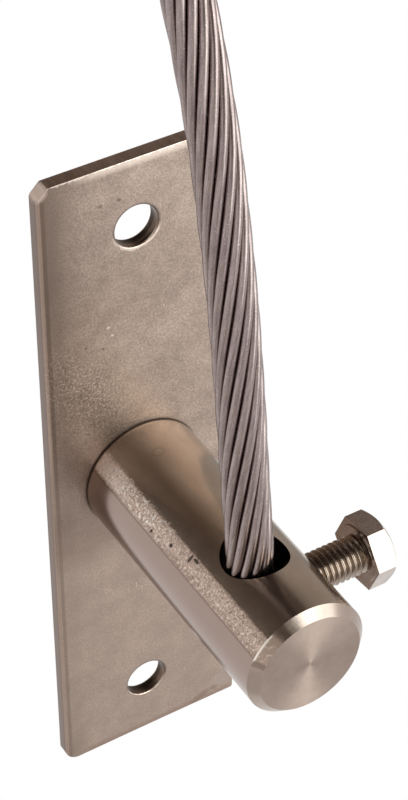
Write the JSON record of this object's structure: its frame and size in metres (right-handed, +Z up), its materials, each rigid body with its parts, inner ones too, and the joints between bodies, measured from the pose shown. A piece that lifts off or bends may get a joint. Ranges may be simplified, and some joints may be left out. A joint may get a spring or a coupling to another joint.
{
  "type": "conductor tensioning bracket",
  "caption": "Flat wall plate with a round standing post, through which a bare stranded conductor passes and is gripped by a hexagon clamp bolt in the post's side.",
  "frame": {"origin": "on the plate's back face, midway between the two wall bolt holes", "axes": "+Z up along the plate and the conductor, +Y into the wall, so the post stands towards -Y and the clamp bolt's head faces +X"},
  "size_m": [0.0482, 0.063, 0.2062],
  "materials": {
    "plate_steel": "rolled flat bar, matt and finely grained",
    "post_steel": "turned bar with fine tool marks",
    "weld_steel": "weld metal ground flush",
    "bolt_steel": "bright formed head, rolled thread",
    "wire_metal": "drawn round wire, dull grey"
  },
  "bodies": {
    "bracket": {"mounting_plate": "plate_steel", "post": "post_steel", "rear_weld": "weld_steel"},
    "clamp_bolt": {"clamp_bolt": "bolt_steel"},
    "conductor": {"core_wire": "wire_metal", "inner_wire_1": "wire_metal", "inner_wire_2": "wire_metal", "inner_wire_3": "wire_metal", "inner_wire_4": "wire_metal", "inner_wire_5": "wire_metal", "inner_wire_6": "wire_metal", "outer_wire_1": "wire_metal", "outer_wire_2": "wire_metal", "outer_wire_3": "wire_metal", "outer_wire_4": "wire_metal", "outer_wire_5": "wire_metal", "outer_wire_6": "wire_metal", "outer_wire_7": "wire_metal", "outer_wire_8": "wire_metal", "outer_wire_9": "wire_metal", "outer_wire_10": "wire_metal", "outer_wire_11": "wire_metal", "outer_wire_12": "wire_metal"}
  },
  "joints": [
    {"name": "bolt_advance", "type": "slide", "parent": "bracket", "child": "clamp_bolt", "axis": [1, 0, 0], "range_m": [0, 0.00875]},
    {"name": "conductor_pull", "type": "slide", "parent": "bracket", "child": "conductor", "axis": [0, 0, 1], "range_m": [0, 0.012]}
  ]
}
